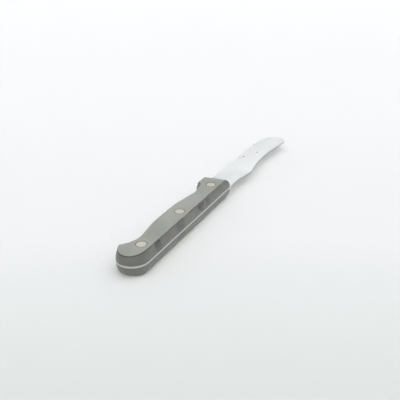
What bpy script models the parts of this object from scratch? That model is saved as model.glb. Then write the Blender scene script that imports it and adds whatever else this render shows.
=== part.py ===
"""Butter knife with a full tang, two riveted handle scales and a hump-backed blade, lying on its side.

Frame: +X runs from the butt to the tip, +Y points to the cutting edge, +Z goes up through the handle.
The origin is at the middle of the knife's box, on the surface that the handle lies on. Units are metres.
Outlines are drawn in plan: along counts from the butt end towards the tip, and up counts from the line
through the rivets towards the cutting edge. An empty moves the finished knife into its frame.
"""

import math
from collections import namedtuple

import bmesh
import bpy

# Overall lengths and thicknesses
HANDLE_LENGTH = 0.1133
BLADE_LENGTH = 0.1041  # what stands out in front of the scales
STEEL_THICKNESS = 0.0012
SCALE_THICKNESS = 0.0063

# Back of the knife, below the rivet line
SPINE_DROP = 0.0069  # the handle and the root of the blade
HUMP_DROP = 0.0098
DIP_DROP = 0.0071  # between the hump and the tip
TIP_DROP = 0.0104

# Butt, measured forward from its end
BUTT_RADIUS = 0.0098
SHOULDER_HEIGHT = 0.0082
SHOULDER_RADIUS = 0.0080
HOOK_AT = 0.0084
HOOK_HEIGHT = 0.0124
HOOK_RADIUS = 0.0022
WAIST_AT = 0.0152
WAIST_HEIGHT = 0.0056
WAIST_RADIUS = 0.0150

# Palm swell, a flat stretch near the middle of the handle
PALM_LENGTH = 0.0240
PALM_SETBACK = 0.0058  # how far its middle lies behind the handle's middle
PALM_HEIGHT = 0.00895
PALM_RADIUS = 0.0650

# Neck and guard, measured back from the front of the scales
NECK_BACK = 0.0290
NECK_HEIGHT = 0.0056
NECK_RADIUS = 0.0200
GUARD_FOOT_BACK = 0.0187
GUARD_FOOT_HEIGHT = 0.0074
GUARD_FOOT_RADIUS = 0.0010
GUARD_BACK = 0.0152
GUARD_HEIGHT = 0.0108
GUARD_RADIUS = 0.0022
HEEL_HEIGHT = 0.0106  # where the cutting edge leaves the scales
HEEL_RADIUS = 0.0150

# Hump on the blade's back, measured forward from the front of the scales
HUMP_START = 0.0120
HUMP_START_RADIUS = 0.0300
HUMP_PEAK = 0.0293
HUMP_RADIUS = 0.0050
HUMP_END = 0.0480
HUMP_END_RADIUS = 0.0400

# Rounded tip, measured back from the end of the blade
EDGE_END_BACK = 0.0240
EDGE_END_HEIGHT = 0.0098
EDGE_END_RADIUS = 0.0500
TIP_BELLY_BACK = 0.0100
TIP_BELLY_HEIGHT = 0.0077
TIP_BELLY_RADIUS = 0.0250
TIP_SHOULDER_HEIGHT = 0.0030
TIP_SHOULDER_RADIUS = 0.0075
TIP_CORNER_RADIUS = 0.0074
TIP_BACK_BACK = 0.0092
TIP_BACK_RADIUS = 0.0250
DIP_END_BACK = 0.0353
DIP_END_RADIUS = 0.0600

# Section of the steel
GRIND_WIDTH = 0.0115  # straight across the blade, from the cutting edge
CUTTING_EDGE_THICKNESS = 0.0003
EDGE_BREAK = 0.0001  # the chamfer round the rest of the steel
PLUNGE_START = 0.0020  # where the grind begins, in front of the scales
PLUNGE_LENGTH = 0.0090

# Section of a scale
SIDE_INSET = 0.0017  # how far its flat face lies inside the tang's outline
BUTT_INSET = 0.0024  # the same at the butt
FRONT_INSET = 0.0047  # and at the front end
FRONT_SLANT = 0.0023  # how far the front end falls back on the cutting edge's side
FRONT_CORNER_RADIUS = 0.0024  # in front of the guard
BACK_CORNER_RADIUS = 0.0006  # at the knife's back
SHARPEST_RADIUS = 0.0002  # the least that a corner keeps on the flat face
BUTT_FALL = 0.0016  # how far the flat face falls away by the end of the butt
BUTT_FALL_LENGTH = 0.0100

# Rivets, one for each name, evenly spaced along the handle
RIVET_NAMES = ("rear", "middle", "front")
REAR_RIVET_AT = 0.0138  # from the end of the butt
FRONT_RIVET_BACK = 0.0155  # from the front of the scales
HEAD_DIAMETER = 0.0060
HEAD_THICKNESS = 0.0014
TUBE_DIAMETER = 0.0036
TUBE_WALL = 0.0006
TUBE_END_GAP = 0.0010  # between the tube's mouth and the pin's head
PIN_END_GAP = 0.0015  # between the pin's end and the bottom of the tube's bore

# Clearances between finished pieces
BOND_GAP = 0.00005
RIVET_CLEARANCE = 0.0001

# Fineness of the meshes
ARC_STEP = math.radians(6.0)
STEP_TOLERANCE = 0.001  # keeps a turn that is a whole number of steps from gaining one
LONGEST_EDGE = 0.0025
SECTION_STEPS = 6
ROUND_SEGMENTS = 40
SMOOTH_ANGLE = math.radians(25.0)
CUTTER_OVERSHOOT = 0.0010

# Worked out from the sizes above
KNIFE_LENGTH = HANDLE_LENGTH + BLADE_LENGTH
PALM_MIDDLE = HANDLE_LENGTH / 2 - PALM_SETBACK
HALF_STEEL = STEEL_THICKNESS / 2
SCALE_FOOT = HALF_STEEL + BOND_GAP
HALF_HANDLE = SCALE_FOOT + SCALE_THICKNESS
HEAD_SEAT = HALF_HANDLE - HEAD_THICKNESS
BORE_RADIUS = TUBE_DIAMETER / 2 - TUBE_WALL

Corner = namedtuple("Corner", "along up radius")
PathPoint = namedtuple("PathPoint", "along up normal")  # normal is the angle of the outward normal


def handle_corners():
    """Corners of the handle's outline, clockwise from the back of the butt to the guard."""
    return [
        Corner(0.0, -SPINE_DROP, BUTT_RADIUS),
        Corner(0.0, SHOULDER_HEIGHT, SHOULDER_RADIUS),
        Corner(HOOK_AT, HOOK_HEIGHT, HOOK_RADIUS),
        Corner(WAIST_AT, WAIST_HEIGHT, WAIST_RADIUS),
        Corner(PALM_MIDDLE - PALM_LENGTH / 2, PALM_HEIGHT, PALM_RADIUS),
        Corner(PALM_MIDDLE + PALM_LENGTH / 2, PALM_HEIGHT, PALM_RADIUS),
        Corner(HANDLE_LENGTH - NECK_BACK, NECK_HEIGHT, NECK_RADIUS),
        Corner(HANDLE_LENGTH - GUARD_FOOT_BACK, GUARD_FOOT_HEIGHT, GUARD_FOOT_RADIUS),
        Corner(HANDLE_LENGTH - GUARD_BACK, GUARD_HEIGHT, GUARD_RADIUS),
    ]


def blade_corners():
    """Corners of the blade's outline, clockwise from the heel round the tip to the blade's root."""
    return [
        Corner(HANDLE_LENGTH, HEEL_HEIGHT, HEEL_RADIUS),
        Corner(KNIFE_LENGTH - EDGE_END_BACK, EDGE_END_HEIGHT, EDGE_END_RADIUS),
        Corner(KNIFE_LENGTH - TIP_BELLY_BACK, TIP_BELLY_HEIGHT, TIP_BELLY_RADIUS),
        Corner(KNIFE_LENGTH, TIP_SHOULDER_HEIGHT, TIP_SHOULDER_RADIUS),
        Corner(KNIFE_LENGTH, -TIP_DROP, TIP_CORNER_RADIUS),
        Corner(KNIFE_LENGTH - TIP_BACK_BACK, -TIP_DROP, TIP_BACK_RADIUS),
        Corner(KNIFE_LENGTH - DIP_END_BACK, -DIP_DROP, DIP_END_RADIUS),
        Corner(HANDLE_LENGTH + HUMP_END, -DIP_DROP, HUMP_END_RADIUS),
        Corner(HANDLE_LENGTH + HUMP_PEAK, -HUMP_DROP, HUMP_RADIUS),
        Corner(HANDLE_LENGTH + HUMP_START, -SPINE_DROP, HUMP_START_RADIUS),
    ]


def front_corners():
    """The two corners at the front of a scale, where it meets the steel."""
    slant = FRONT_SLANT / (HEEL_HEIGHT + SPINE_DROP)
    rise = (HEEL_HEIGHT - GUARD_HEIGHT) / GUARD_BACK
    back = FRONT_SLANT / (1 + slant * rise)
    return [
        Corner(HANDLE_LENGTH - back, HEEL_HEIGHT - rise * back, FRONT_CORNER_RADIUS),
        Corner(HANDLE_LENGTH, -SPINE_DROP, BACK_CORNER_RADIUS),
    ]


def heading(start, end):
    """The direction from one plan point to another, as an angle."""
    return math.atan2(end.up - start.up, end.along - start.along)


def turn_at(before, corner, after):
    """How far a clockwise outline turns at a corner: negative where it bulges, positive where hollow."""
    return math.remainder(heading(corner, after) - heading(before, corner), 2 * math.pi)


def fillet(before, corner, after, reach):
    """The arc that rounds a corner and touches both of its sides at a distance of reach from it."""
    turn = turn_at(before, corner, after)
    radius = -reach / math.tan(turn / 2)
    inward = heading(before, corner)
    first_normal = inward + math.pi / 2
    centre_along = corner.along - reach * math.cos(inward) - radius * math.cos(first_normal)
    centre_up = corner.up - reach * math.sin(inward) - radius * math.sin(first_normal)
    steps = math.ceil(abs(turn) / ARC_STEP - STEP_TOLERANCE)
    normals = [first_normal + turn * step / steps for step in range(steps + 1)]
    return [
        PathPoint(centre_along + radius * math.cos(normal), centre_up + radius * math.sin(normal), normal)
        for normal in normals
    ]


def rounded(corners):
    """The outline through the corners, each rounded by its radius or by what its sides leave room for."""
    triples = list(zip(corners[-1:] + corners[:-1], corners, corners[1:] + corners[:1]))
    reaches = [abs(triple[1].radius * math.tan(turn_at(*triple) / 2)) for triple in triples]
    sides = [math.dist(corner[:2], after[:2]) for _, corner, after in triples]
    room = [
        min(1.0, side / (reach + next_reach))
        for side, reach, next_reach in zip(sides, reaches, reaches[1:] + reaches[:1])
    ]
    path = []
    for index, triple in enumerate(triples):
        path += fillet(*triple, reaches[index] * min(room[index - 1], room[index]))
    return path


def inset_corners(corners, insets):
    """The corners once the side that leaves each of them has moved inwards by its inset."""
    moved = []
    for index, corner in enumerate(corners):
        before, after = corners[index - 1], corners[(index + 1) % len(corners)]
        turn = turn_at(before, corner, after)
        first = heading(before, corner) + math.pi / 2
        second = first + turn
        first_inset, second_inset = insets[index - 1], insets[index]
        along = (second_inset * math.sin(first) - first_inset * math.sin(second)) / math.sin(turn)
        up = (first_inset * math.cos(second) - second_inset * math.cos(first)) / math.sin(turn)
        radius = corner.radius + math.copysign(second_inset, turn)
        moved.append(Corner(corner.along + along, corner.up + up, max(radius, SHARPEST_RADIUS)))
    return moved


def subdivided(path):
    """The closed path with points added wherever a stretch is longer than LONGEST_EDGE."""
    fuller = []
    for start, end in zip(path, path[1:] + path[:1]):
        pieces = math.ceil(math.dist(start[:2], end[:2]) / LONGEST_EDGE)
        turn = math.remainder(end.normal - start.normal, 2 * math.pi)
        for piece in range(pieces):
            share = piece / pieces
            along = start.along + share * (end.along - start.along)
            up = start.up + share * (end.up - start.up)
            fuller.append(PathPoint(along, up, start.normal + share * turn))
    return fuller


def grind_share(point):
    """How much of the grind's width a point of the steel's outline has: 1 at the edge, 0 at the back."""
    run = (point.along - HANDLE_LENGTH - PLUNGE_START) / PLUNGE_LENGTH
    run = min(max(run, 0.0), 1.0)
    plunge = run * run * (3 - 2 * run)
    return plunge * max(0.0, math.sin(point.normal)) ** 2


def steel_rings(path):
    """The four rings of the steel, bottom to top: the border of each flat and the rim between them."""
    flat, rim = [], []
    for point in path:
        share = grind_share(point)
        across = share * (GRIND_WIDTH - EDGE_BREAK)
        full = HALF_STEEL - EDGE_BREAK
        half = full + share * (CUTTING_EDGE_THICKNESS / 2 - full)
        along = point.along - EDGE_BREAK * math.cos(point.normal)
        up = point.up - EDGE_BREAK * math.sin(point.normal) - across
        flat.append((along, up, HALF_STEEL))
        rim.append((point.along, point.up, half))
    return [mirrored(flat), mirrored(rim), rim, flat]


def mirrored(ring):
    """The ring on the other side of the steel's middle plane."""
    return [(along, up, -height) for along, up, height in ring]


def arc_fall(run, full_run, full_fall):
    """How far an arc has fallen after a run, if it starts straight and falls by full_fall over full_run."""
    radius = (full_run**2 + full_fall**2) / (2 * full_fall)
    return radius - math.sqrt(radius**2 - run**2)


def side_insets(height, count):
    """How far in each of a scale's sides, count in all, has come at a height above its foot."""
    insets = [SIDE_INSET] * count
    insets[0] = BUTT_INSET
    insets[-2] = FRONT_INSET
    return [arc_fall(height, SCALE_THICKNESS, inset) for inset in insets]


def scale_rings():
    """The rings of the upper scale, from its foot on the steel to its flat face."""
    corners = handle_corners() + front_corners()
    rings = []
    for step in range(SECTION_STEPS + 1):
        height = SCALE_THICKNESS * step / SECTION_STEPS
        path = rounded(inset_corners(corners, side_insets(height, len(corners))))
        rings.append([(point.along, point.up, SCALE_FOOT + height) for point in path])
    return rings


def turned_rings(profile):
    """Rings of a round piece from its (radius, height) profile."""
    angles = [2 * math.pi * step / ROUND_SEGMENTS for step in range(ROUND_SEGMENTS)]
    return [
        [(radius * math.cos(angle), radius * math.sin(angle), height) for angle in angles]
        for radius, height in profile
    ]


def lofted(name, rings):
    """A closed mesh through rings of equally many points, capped at both ends."""
    shape = bmesh.new()
    loops = [[shape.verts.new(point) for point in ring] for ring in rings]
    for lower, upper in zip(loops, loops[1:]):
        for index in range(len(lower)):
            shape.faces.new((lower[index - 1], lower[index], upper[index], upper[index - 1]))
    shape.faces.new(loops[0])
    shape.faces.new(loops[-1])
    bmesh.ops.recalc_face_normals(shape, faces=shape.faces)
    mesh = bpy.data.meshes.new(name)
    shape.to_mesh(mesh)
    shape.free()
    mesh.shade_smooth()
    mesh.set_sharp_from_angle(angle=SMOOTH_ANGLE)
    return mesh


def principled(name, colour, metallic, roughness):
    """A material with one Principled shader."""
    material = bpy.data.materials.new(name)
    material.use_nodes = True
    shader = material.node_tree.nodes["Principled BSDF"]
    shader.inputs["Base Color"].default_value = (*colour, 1.0)
    shader.inputs["Metallic"].default_value = metallic
    shader.inputs["Roughness"].default_value = roughness
    return material


def add_piece(name, mesh, material, parent, along=0.0):
    """A named object for one piece of the knife."""
    mesh.materials.append(material)
    piece = bpy.data.objects.new(name, mesh)
    bpy.context.scene.collection.objects.link(piece)
    piece.parent = parent
    piece.location.x = along
    return piece


def cut(piece, cutters):
    """Takes the cutters' shapes out of a piece."""
    for cutter in cutters:
        modifier = piece.modifiers.new(cutter.name, "BOOLEAN")
        modifier.operation = "DIFFERENCE"
        modifier.solver = "EXACT"
        modifier.object = cutter


def hidden_cutter(name, mesh, parent):
    """An object that is cut from the pieces and isn't itself part of the knife."""
    cutter = bpy.data.objects.new(name, mesh)
    bpy.context.scene.collection.objects.link(cutter)
    cutter.parent = parent
    cutter.hide_render = True
    cutter.display_type = "WIRE"
    return cutter


def butt_cutter(name, parent, side):
    """What is ground off a scale's face at the butt: side is 1 for the upper scale, -1 for the lower one."""
    full_run = BUTT_FALL_LENGTH + CUTTER_OVERSHOOT
    outside = HALF_HANDLE + CUTTER_OVERSHOOT
    profile = [(-CUTTER_OVERSHOOT, outside), (BUTT_FALL_LENGTH, outside)]
    for step in range(SECTION_STEPS + 1):
        run = full_run * step / SECTION_STEPS
        fall = arc_fall(run, BUTT_FALL_LENGTH, BUTT_FALL)
        profile.append((BUTT_FALL_LENGTH - run, HALF_HANDLE - fall))
    rings = [
        [(along, up, side * height) for along, height in profile]
        for up in (-SPINE_DROP - CUTTER_OVERSHOOT, HOOK_HEIGHT + CUTTER_OVERSHOOT)
    ]
    return hidden_cutter(name, lofted(name, rings), parent)


def rivet_cutter(name, parent, along):
    """What is drilled for one rivet: a hole through the handle with a seat for a head at each end."""
    hole = TUBE_DIAMETER / 2 + RIVET_CLEARANCE
    seat = HEAD_DIAMETER / 2 + RIVET_CLEARANCE
    seat_floor = HEAD_SEAT - BOND_GAP
    outside = HALF_HANDLE + CUTTER_OVERSHOOT
    profile = [
        (seat, -outside),
        (seat, -seat_floor),
        (hole, -seat_floor),
        (hole, seat_floor),
        (seat, seat_floor),
        (seat, outside),
    ]
    cutter = hidden_cutter(name, lofted(name, turned_rings(profile)), parent)
    cutter.location.x = along
    return cutter


def rivet_tube(name):
    """The half of a rivet with its head on top and a bored shank."""
    mouth = -HEAD_SEAT + TUBE_END_GAP
    profile = [
        (BORE_RADIUS, HEAD_SEAT),
        (BORE_RADIUS, mouth),
        (TUBE_DIAMETER / 2, mouth),
        (TUBE_DIAMETER / 2, HEAD_SEAT),
        (HEAD_DIAMETER / 2, HEAD_SEAT),
        (HEAD_DIAMETER / 2, HALF_HANDLE),
    ]
    return lofted(name, turned_rings(profile))


def rivet_pin(name):
    """The half of a rivet with its head underneath and a solid pin that is pressed into the tube."""
    pin = BORE_RADIUS - RIVET_CLEARANCE
    profile = [
        (HEAD_DIAMETER / 2, -HALF_HANDLE),
        (HEAD_DIAMETER / 2, -HEAD_SEAT),
        (pin, -HEAD_SEAT),
        (pin, HEAD_SEAT - PIN_END_GAP),
    ]
    return lofted(name, turned_rings(profile))


def rivet_places():
    """How far along the handle each rivet stands."""
    spacing = (HANDLE_LENGTH - FRONT_RIVET_BACK - REAR_RIVET_AT) / (len(RIVET_NAMES) - 1)
    return [REAR_RIVET_AT + spacing * index for index in range(len(RIVET_NAMES))]


def frame_origin(path):
    """The empty that carries the knife and sets it in its frame."""
    origin = bpy.data.objects.new("butter_knife", None)
    bpy.context.scene.collection.objects.link(origin)
    ups = [point.up for point in path]
    origin.location = (-KNIFE_LENGTH / 2, -(min(ups) + max(ups)) / 2, HALF_HANDLE)
    return origin


def build_knife():
    """Models every piece of the knife."""
    steel = principled("satin_stainless_steel", (0.70, 0.725, 0.73), 1.0, 0.26)
    resin = principled("dark_grey_handle_resin", (0.21, 0.22, 0.20), 0.0, 0.30)
    nickel_silver = principled("nickel_silver", (0.47, 0.45, 0.40), 1.0, 0.32)

    path = subdivided(rounded(handle_corners() + blade_corners()))
    origin = frame_origin(path)
    holes = [
        rivet_cutter(f"rivet_hole_{name}", origin, along)
        for name, along in zip(RIVET_NAMES, rivet_places())
    ]
    cut(add_piece("blade_and_tang", lofted("blade_and_tang", steel_rings(path)), steel, origin), holes)
    upper_rings = scale_rings()
    lower_rings = [mirrored(ring) for ring in upper_rings]
    for place, side, rings in (("upper", 1, upper_rings), ("lower", -1, lower_rings)):
        name = f"handle_scale_{place}"
        scale = add_piece(name, lofted(name, rings), resin, origin)
        cut(scale, [butt_cutter(f"butt_fall_{place}", origin, side), *holes])
    for name, along in zip(RIVET_NAMES, rivet_places()):
        for half, make in (("tube", rivet_tube), ("pin", rivet_pin)):
            full_name = f"rivet_{half}_{name}"
            add_piece(full_name, make(full_name), nickel_silver, origin, along)


for leftover in list(bpy.data.objects):
    bpy.data.objects.remove(leftover)
build_knife()
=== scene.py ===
"""Looks of the butter knife: the surface of every piece, the pale table, the light and the camera.

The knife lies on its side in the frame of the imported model: +X runs from the butt to the tip, +Y points
to the cutting edge and +Z goes up through the handle. All lengths are in metres. Outlines are drawn in
plan: along counts from the end of the butt, up counts from the line through the rivets towards the
cutting edge, and height counts from the middle plane of the steel.
"""

import logging
import math
from abc import ABC, abstractmethod
from collections.abc import Mapping, Sequence
from dataclasses import dataclass, replace
from enum import Enum
from functools import partial, reduce

import bmesh
import bpy
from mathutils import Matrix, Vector


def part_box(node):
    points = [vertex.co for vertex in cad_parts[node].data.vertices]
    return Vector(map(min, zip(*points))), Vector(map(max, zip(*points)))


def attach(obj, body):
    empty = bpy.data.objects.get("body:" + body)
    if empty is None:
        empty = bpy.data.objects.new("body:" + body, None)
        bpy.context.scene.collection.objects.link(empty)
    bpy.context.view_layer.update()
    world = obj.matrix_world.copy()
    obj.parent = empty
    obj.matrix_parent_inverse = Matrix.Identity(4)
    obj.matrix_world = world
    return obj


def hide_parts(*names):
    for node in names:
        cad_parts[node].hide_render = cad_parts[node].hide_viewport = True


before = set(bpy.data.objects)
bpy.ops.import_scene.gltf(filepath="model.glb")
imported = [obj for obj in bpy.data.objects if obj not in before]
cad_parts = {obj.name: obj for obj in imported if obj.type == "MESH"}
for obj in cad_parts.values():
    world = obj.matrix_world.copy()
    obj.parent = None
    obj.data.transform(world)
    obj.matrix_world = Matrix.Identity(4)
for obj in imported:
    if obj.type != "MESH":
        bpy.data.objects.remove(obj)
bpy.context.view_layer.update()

LOG = logging.getLogger("butter_knife")
# The edge wear also places the painted shade just under the scales' rim.
WEAR = "edge_wear"  # the vertex attribute that is 1 on an edge and fades to 0 on the faces beside it
CREASE = math.radians(30.0)  # edges that turn by more than this stay crisp
WELD = 0.000002  # points closer than this become one

NOISE_MEAN = 0.5
MIXED_COLOURS = (6, 7)  # the numbers of the Mix node's colour inputs
MIXED_RESULT = 2  # and of its colour output
RELIEF_STRENGTH = 0.5

Triple = tuple[float, float, float]
Range = tuple[float, float]
Piece = bpy.types.Object
Material = bpy.types.Material
Socket = bpy.types.NodeSocket

FORWARDS: Triple = (1.0, 0.0, 0.0)
UPWARDS: Triple = (0.0, 0.0, 1.0)
RISING: Range = (0.0, 1.0)
FADING: Range = (1.0, 0.0)


class Side(Enum):
    """The two sides of the steel that carry a scale, with the way that each one faces."""

    UPPER = 1
    LOWER = -1


class RivetPlace(Enum):
    """The places along the handle that hold a rivet."""

    REAR = "rear"
    MIDDLE = "middle"
    FRONT = "front"


class RivetHalf(Enum):
    """The two halves of a cutler's rivet: the tube has its head on top, the pin has its head underneath."""

    TUBE = "tube"
    PIN = "pin"


class Slot(Enum):
    """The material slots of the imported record."""

    STEEL = "blade_steel"
    RESIN = "handle_resin"
    NICKEL_SILVER = "rivet_metal"


# Outlines in plan


@dataclass(frozen=True)
class PlanPoint:
    """A point in plan."""

    along: float
    up: float

    def heading_to(self, other: "PlanPoint") -> float:
        """The direction from this point to another one, as an angle."""
        return math.atan2(other.up - self.up, other.along - self.along)

    def distance_to(self, other: "PlanPoint") -> float:
        """How far another point lies from this one."""
        return math.hypot(other.along - self.along, other.up - self.up)


@dataclass(frozen=True)
class Corner(PlanPoint):
    """A corner of an outline and the radius that rounds it."""

    radius: float

    def shifted(self, along: float) -> "Corner":
        """The same corner, counted from a datum that lies further along."""
        return replace(self, along=self.along + along)


@dataclass(frozen=True)
class OutlinePoint(PlanPoint):
    """A point of a rounded outline, with the angle of its outward normal."""

    outward: float

    def towards(self, other: "OutlinePoint", share: float) -> "OutlinePoint":
        """The point that lies a share of the way to another one.

        Args:
            other: The point at the far end of the stretch.
            share: 0 at this point, 1 at the other one.

        Returns:
            The point between them, its normal turned by the same share.
        """
        turn = math.remainder(other.outward - self.outward, 2 * math.pi)
        return OutlinePoint(
            self.along + share * (other.along - self.along),
            self.up + share * (other.up - self.up),
            self.outward + share * turn,
        )


@dataclass(frozen=True)
class Outline:
    """A closed outline whose corners run clockwise and are rounded by arcs."""

    corners: tuple[Corner, ...]
    arc_step: float = math.radians(2.0)
    sharpest_radius: float = 0.0002
    step_tolerance: float = 0.001

    def turn(self, index: int) -> float:
        """How far the outline turns at a corner.

        Args:
            index: Which corner.

        Returns:
            The angle, negative where the outline bulges and positive where it is hollow.
        """
        before, corner = self.corners[index - 1], self.corners[index]
        after = self.corners[(index + 1) % len(self.corners)]
        return math.remainder(corner.heading_to(after) - before.heading_to(corner), 2 * math.pi)

    def drawn_in(self, insets: Sequence[float]) -> "Outline":
        """The outline with each of its sides moved inwards.

        Args:
            insets: How far the side that leaves each corner moves.

        Returns:
            The smaller outline, with as many corners.
        """
        moved = []
        for index, corner in enumerate(self.corners):
            turn = self.turn(index)
            first = self.corners[index - 1].heading_to(corner) + math.pi / 2
            second = first + turn
            near, far = insets[index - 1], insets[index]
            along = (far * math.sin(first) - near * math.sin(second)) / math.sin(turn)
            up = (near * math.cos(second) - far * math.cos(first)) / math.sin(turn)
            radius = max(corner.radius + math.copysign(far, turn), self.sharpest_radius)
            moved.append(Corner(corner.along + along, corner.up + up, radius))
        return replace(self, corners=tuple(moved))

    def points(self) -> list[OutlinePoint]:
        """Rounds the outline.

        Returns:
            Its points, one at every step of each arc.
        """
        count = len(self.corners)
        reaches = [
            abs(corner.radius * math.tan(self.turn(index) / 2)) for index, corner in enumerate(self.corners)
        ]
        room = []
        for index, corner in enumerate(self.corners):
            after = (index + 1) % count
            side = corner.distance_to(self.corners[after])
            room.append(min(1.0, side / (reaches[index] + reaches[after])))
        rounded = []
        for index in range(count):
            rounded += self._arc(index, reaches[index] * min(room[index - 1], room[index]))
        return rounded

    def _arc(self, index: int, reach: float) -> list[OutlinePoint]:
        """The arc that rounds one corner.

        Args:
            index: Which corner.
            reach: How far from the corner the arc touches both sides.

        Returns:
            The arc's points, both ends included.
        """
        corner = self.corners[index]
        turn = self.turn(index)
        radius = -reach / math.tan(turn / 2)
        inward = self.corners[index - 1].heading_to(corner)
        first = inward + math.pi / 2
        centre_along = corner.along - reach * math.cos(inward) - radius * math.cos(first)
        centre_up = corner.up - reach * math.sin(inward) - radius * math.sin(first)
        steps = math.ceil(abs(turn) / self.arc_step - self.step_tolerance)
        normals = [first + turn * step / steps for step in range(steps + 1)]
        spokes = [(radius * math.cos(normal), radius * math.sin(normal), normal) for normal in normals]
        return [OutlinePoint(centre_along + along, centre_up + up, normal) for along, up, normal in spokes]


def pieces_per_stretch(path: Sequence[OutlinePoint], longest: float) -> list[int]:
    """How many pieces each stretch of a closed path is divided into, so that none is longer than longest."""
    lengths = [start.distance_to(end) for start, end in zip(path, [*path[1:], path[0]])]
    return [max(1, math.ceil(length / longest)) for length in lengths]


def divided(path: Sequence[OutlinePoint], pieces: Sequence[int]) -> list[OutlinePoint]:
    """The closed path with its stretches divided.

    Args:
        path: The outline's points.
        pieces: How many pieces each stretch has.

    Returns:
        The longer list of points.
    """
    fuller = []
    for start, end, count in zip(path, [*path[1:], path[0]], pieces):
        fuller += [start.towards(end, piece / count) for piece in range(count)]
    return fuller


def eased(share: float) -> float:
    """A share from 0 to 1 that eases in and out."""
    return share * share * (3 - 2 * share)


def arc_fall(run: float, full_run: float, full_fall: float) -> float:
    """How far an arc that starts straight has fallen after a run, if it falls by full_fall over full_run."""
    radius = (full_run**2 + full_fall**2) / (2 * full_fall)
    return radius - math.sqrt(radius**2 - run**2)


def between(start: Triple, end: Triple, share: float) -> Triple:
    """The point that lies a share of the way from start to end."""
    first, second, third = (low + share * (high - low) for low, high in zip(start, end))
    return first, second, third


def bend(start: Triple, corner: Triple, end: Triple, share: float) -> Triple:
    """A point of the curve that leaves start towards corner and arrives at end from it.

    Args:
        start: Where the curve starts.
        corner: The point that the curve cuts off.
        end: Where the curve ends.
        share: How far along the curve, from 0 to 1.

    Returns:
        The point in the same coordinates.
    """
    weights = ((1 - share) ** 2, 2 * share * (1 - share), share**2)
    first, second, third = (
        sum(weight * value for weight, value in zip(weights, values)) for values in zip(start, corner, end)
    )
    return first, second, third


@dataclass(frozen=True)
class KnifePlan:
    """The knife in plan.

    The corners of the butt count from its end. Those of the neck and the hump count from the front of the
    scales, where a negative value lies behind it, and those of the tip from the end of the blade.
    """

    handle_length: float = 0.1133
    blade_length: float = 0.1041
    spine_drop: float = 0.0069
    butt: tuple[Corner, ...] = (
        Corner(0.0, -0.0069, 0.0098),
        Corner(0.0, 0.0082, 0.0080),
        Corner(0.0084, 0.0124, 0.0022),
        Corner(0.0152, 0.0056, 0.0150),
    )
    palm: tuple[Corner, ...] = (
        Corner(0.03885, 0.00895, 0.0650),
        Corner(0.06285, 0.00895, 0.0650),
    )
    neck: tuple[Corner, ...] = (
        Corner(-0.0290, 0.0056, 0.0200),
        Corner(-0.0187, 0.0074, 0.0010),
        Corner(-0.0152, 0.0108, 0.0022),
    )
    heel: Corner = Corner(0.0, 0.0106, 0.0150)
    tip: tuple[Corner, ...] = (
        Corner(-0.0240, 0.0098, 0.0500),
        Corner(-0.0100, 0.0077, 0.0250),
        Corner(0.0, 0.0030, 0.0075),
        Corner(0.0, -0.0104, 0.0074),
        Corner(-0.0092, -0.0104, 0.0250),
        Corner(-0.0353, -0.0071, 0.0600),
    )
    hump: tuple[Corner, ...] = (
        Corner(0.0480, -0.0071, 0.0400),
        Corner(0.0293, -0.0098, 0.0050),
        Corner(0.0120, -0.0069, 0.0300),
    )
    front_slant: float = 0.0023
    front_corner_radius: float = 0.0024
    back_corner_radius: float = 0.0006

    def handle_corners(self) -> list[Corner]:
        """Corners of the handle, clockwise from the back of the butt to the guard."""
        neck = [corner.shifted(self.handle_length) for corner in self.neck]
        return [*self.butt, *self.palm, *neck]

    def steel_outline(self) -> Outline:
        """The plan of the steel.

        Returns:
            The outline of the blade and its tang.
        """
        end = self.handle_length + self.blade_length
        blade = [
            self.heel.shifted(self.handle_length),
            *(corner.shifted(end) for corner in self.tip),
            *(corner.shifted(self.handle_length) for corner in self.hump),
        ]
        return Outline((*self.handle_corners(), *blade))

    def scale_outline(self) -> Outline:
        """The plan of a scale.

        Returns:
            Its outline at its foot, which ends with the slanted front on the steel.
        """
        guard = self.neck[-1]
        slant = self.front_slant / (self.heel.up + self.spine_drop)
        rise = (self.heel.up - guard.up) / -guard.along
        back = self.front_slant / (1 + slant * rise)
        front = [
            Corner(self.handle_length - back, self.heel.up - rise * back, self.front_corner_radius),
            Corner(self.handle_length, -self.spine_drop, self.back_corner_radius),
        ]
        return Outline((*self.handle_corners(), *front))


# Building meshes


def placed(name: str, data: bpy.types.ID) -> Piece:
    """Makes an object.

    Args:
        name: Its name.
        data: Its mesh or camera.

    Returns:
        The object, linked to the scene.
    """
    made = bpy.data.objects.new(name, data)
    bpy.context.scene.collection.objects.link(made)
    return made


def to_object(shape: bmesh.types.BMesh, name: str) -> Piece:
    """Turns a shape into an object, and frees the shape.

    Args:
        shape: The shape.
        name: The name of the object and its mesh.

    Returns:
        The object, linked to the scene.
    """
    mesh = bpy.data.meshes.new(name)
    shape.to_mesh(mesh)
    shape.free()
    return placed(name, mesh)


@dataclass(frozen=True)
class Bench:
    """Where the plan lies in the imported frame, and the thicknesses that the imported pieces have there."""

    butt: float
    rivet_line: float
    middle: float
    half_steel: float
    scale_foot: float
    half_handle: float

    @classmethod
    def from_frame(cls) -> "Bench":
        """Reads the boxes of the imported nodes.

        Returns:
            The places and thicknesses in them.
        """
        low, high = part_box("blade_and_tang")
        scale_low, scale_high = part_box("handle_scale_upper")
        head_low, head_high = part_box("rivet_tube_middle")
        middle = (low.z + high.z) / 2
        return cls(
            butt=low.x,
            rivet_line=(head_low.y + head_high.y) / 2,
            middle=middle,
            half_steel=high.z - middle,
            scale_foot=scale_low.z - middle,
            half_handle=scale_high.z - middle,
        )

    def rivet_centre(self, place: RivetPlace) -> Vector:
        """The middle of a rivet, on the middle plane of the steel."""
        low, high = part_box(f"rivet_tube_{place.value}")
        return Vector(((low.x + high.x) / 2, self.rivet_line, self.middle))

    def place(self, point: Triple) -> Vector:
        """The place in the frame of a point given by along, up and height."""
        along, up, height = point
        return Vector((self.butt + along, self.rivet_line + up, self.middle + height))


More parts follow.
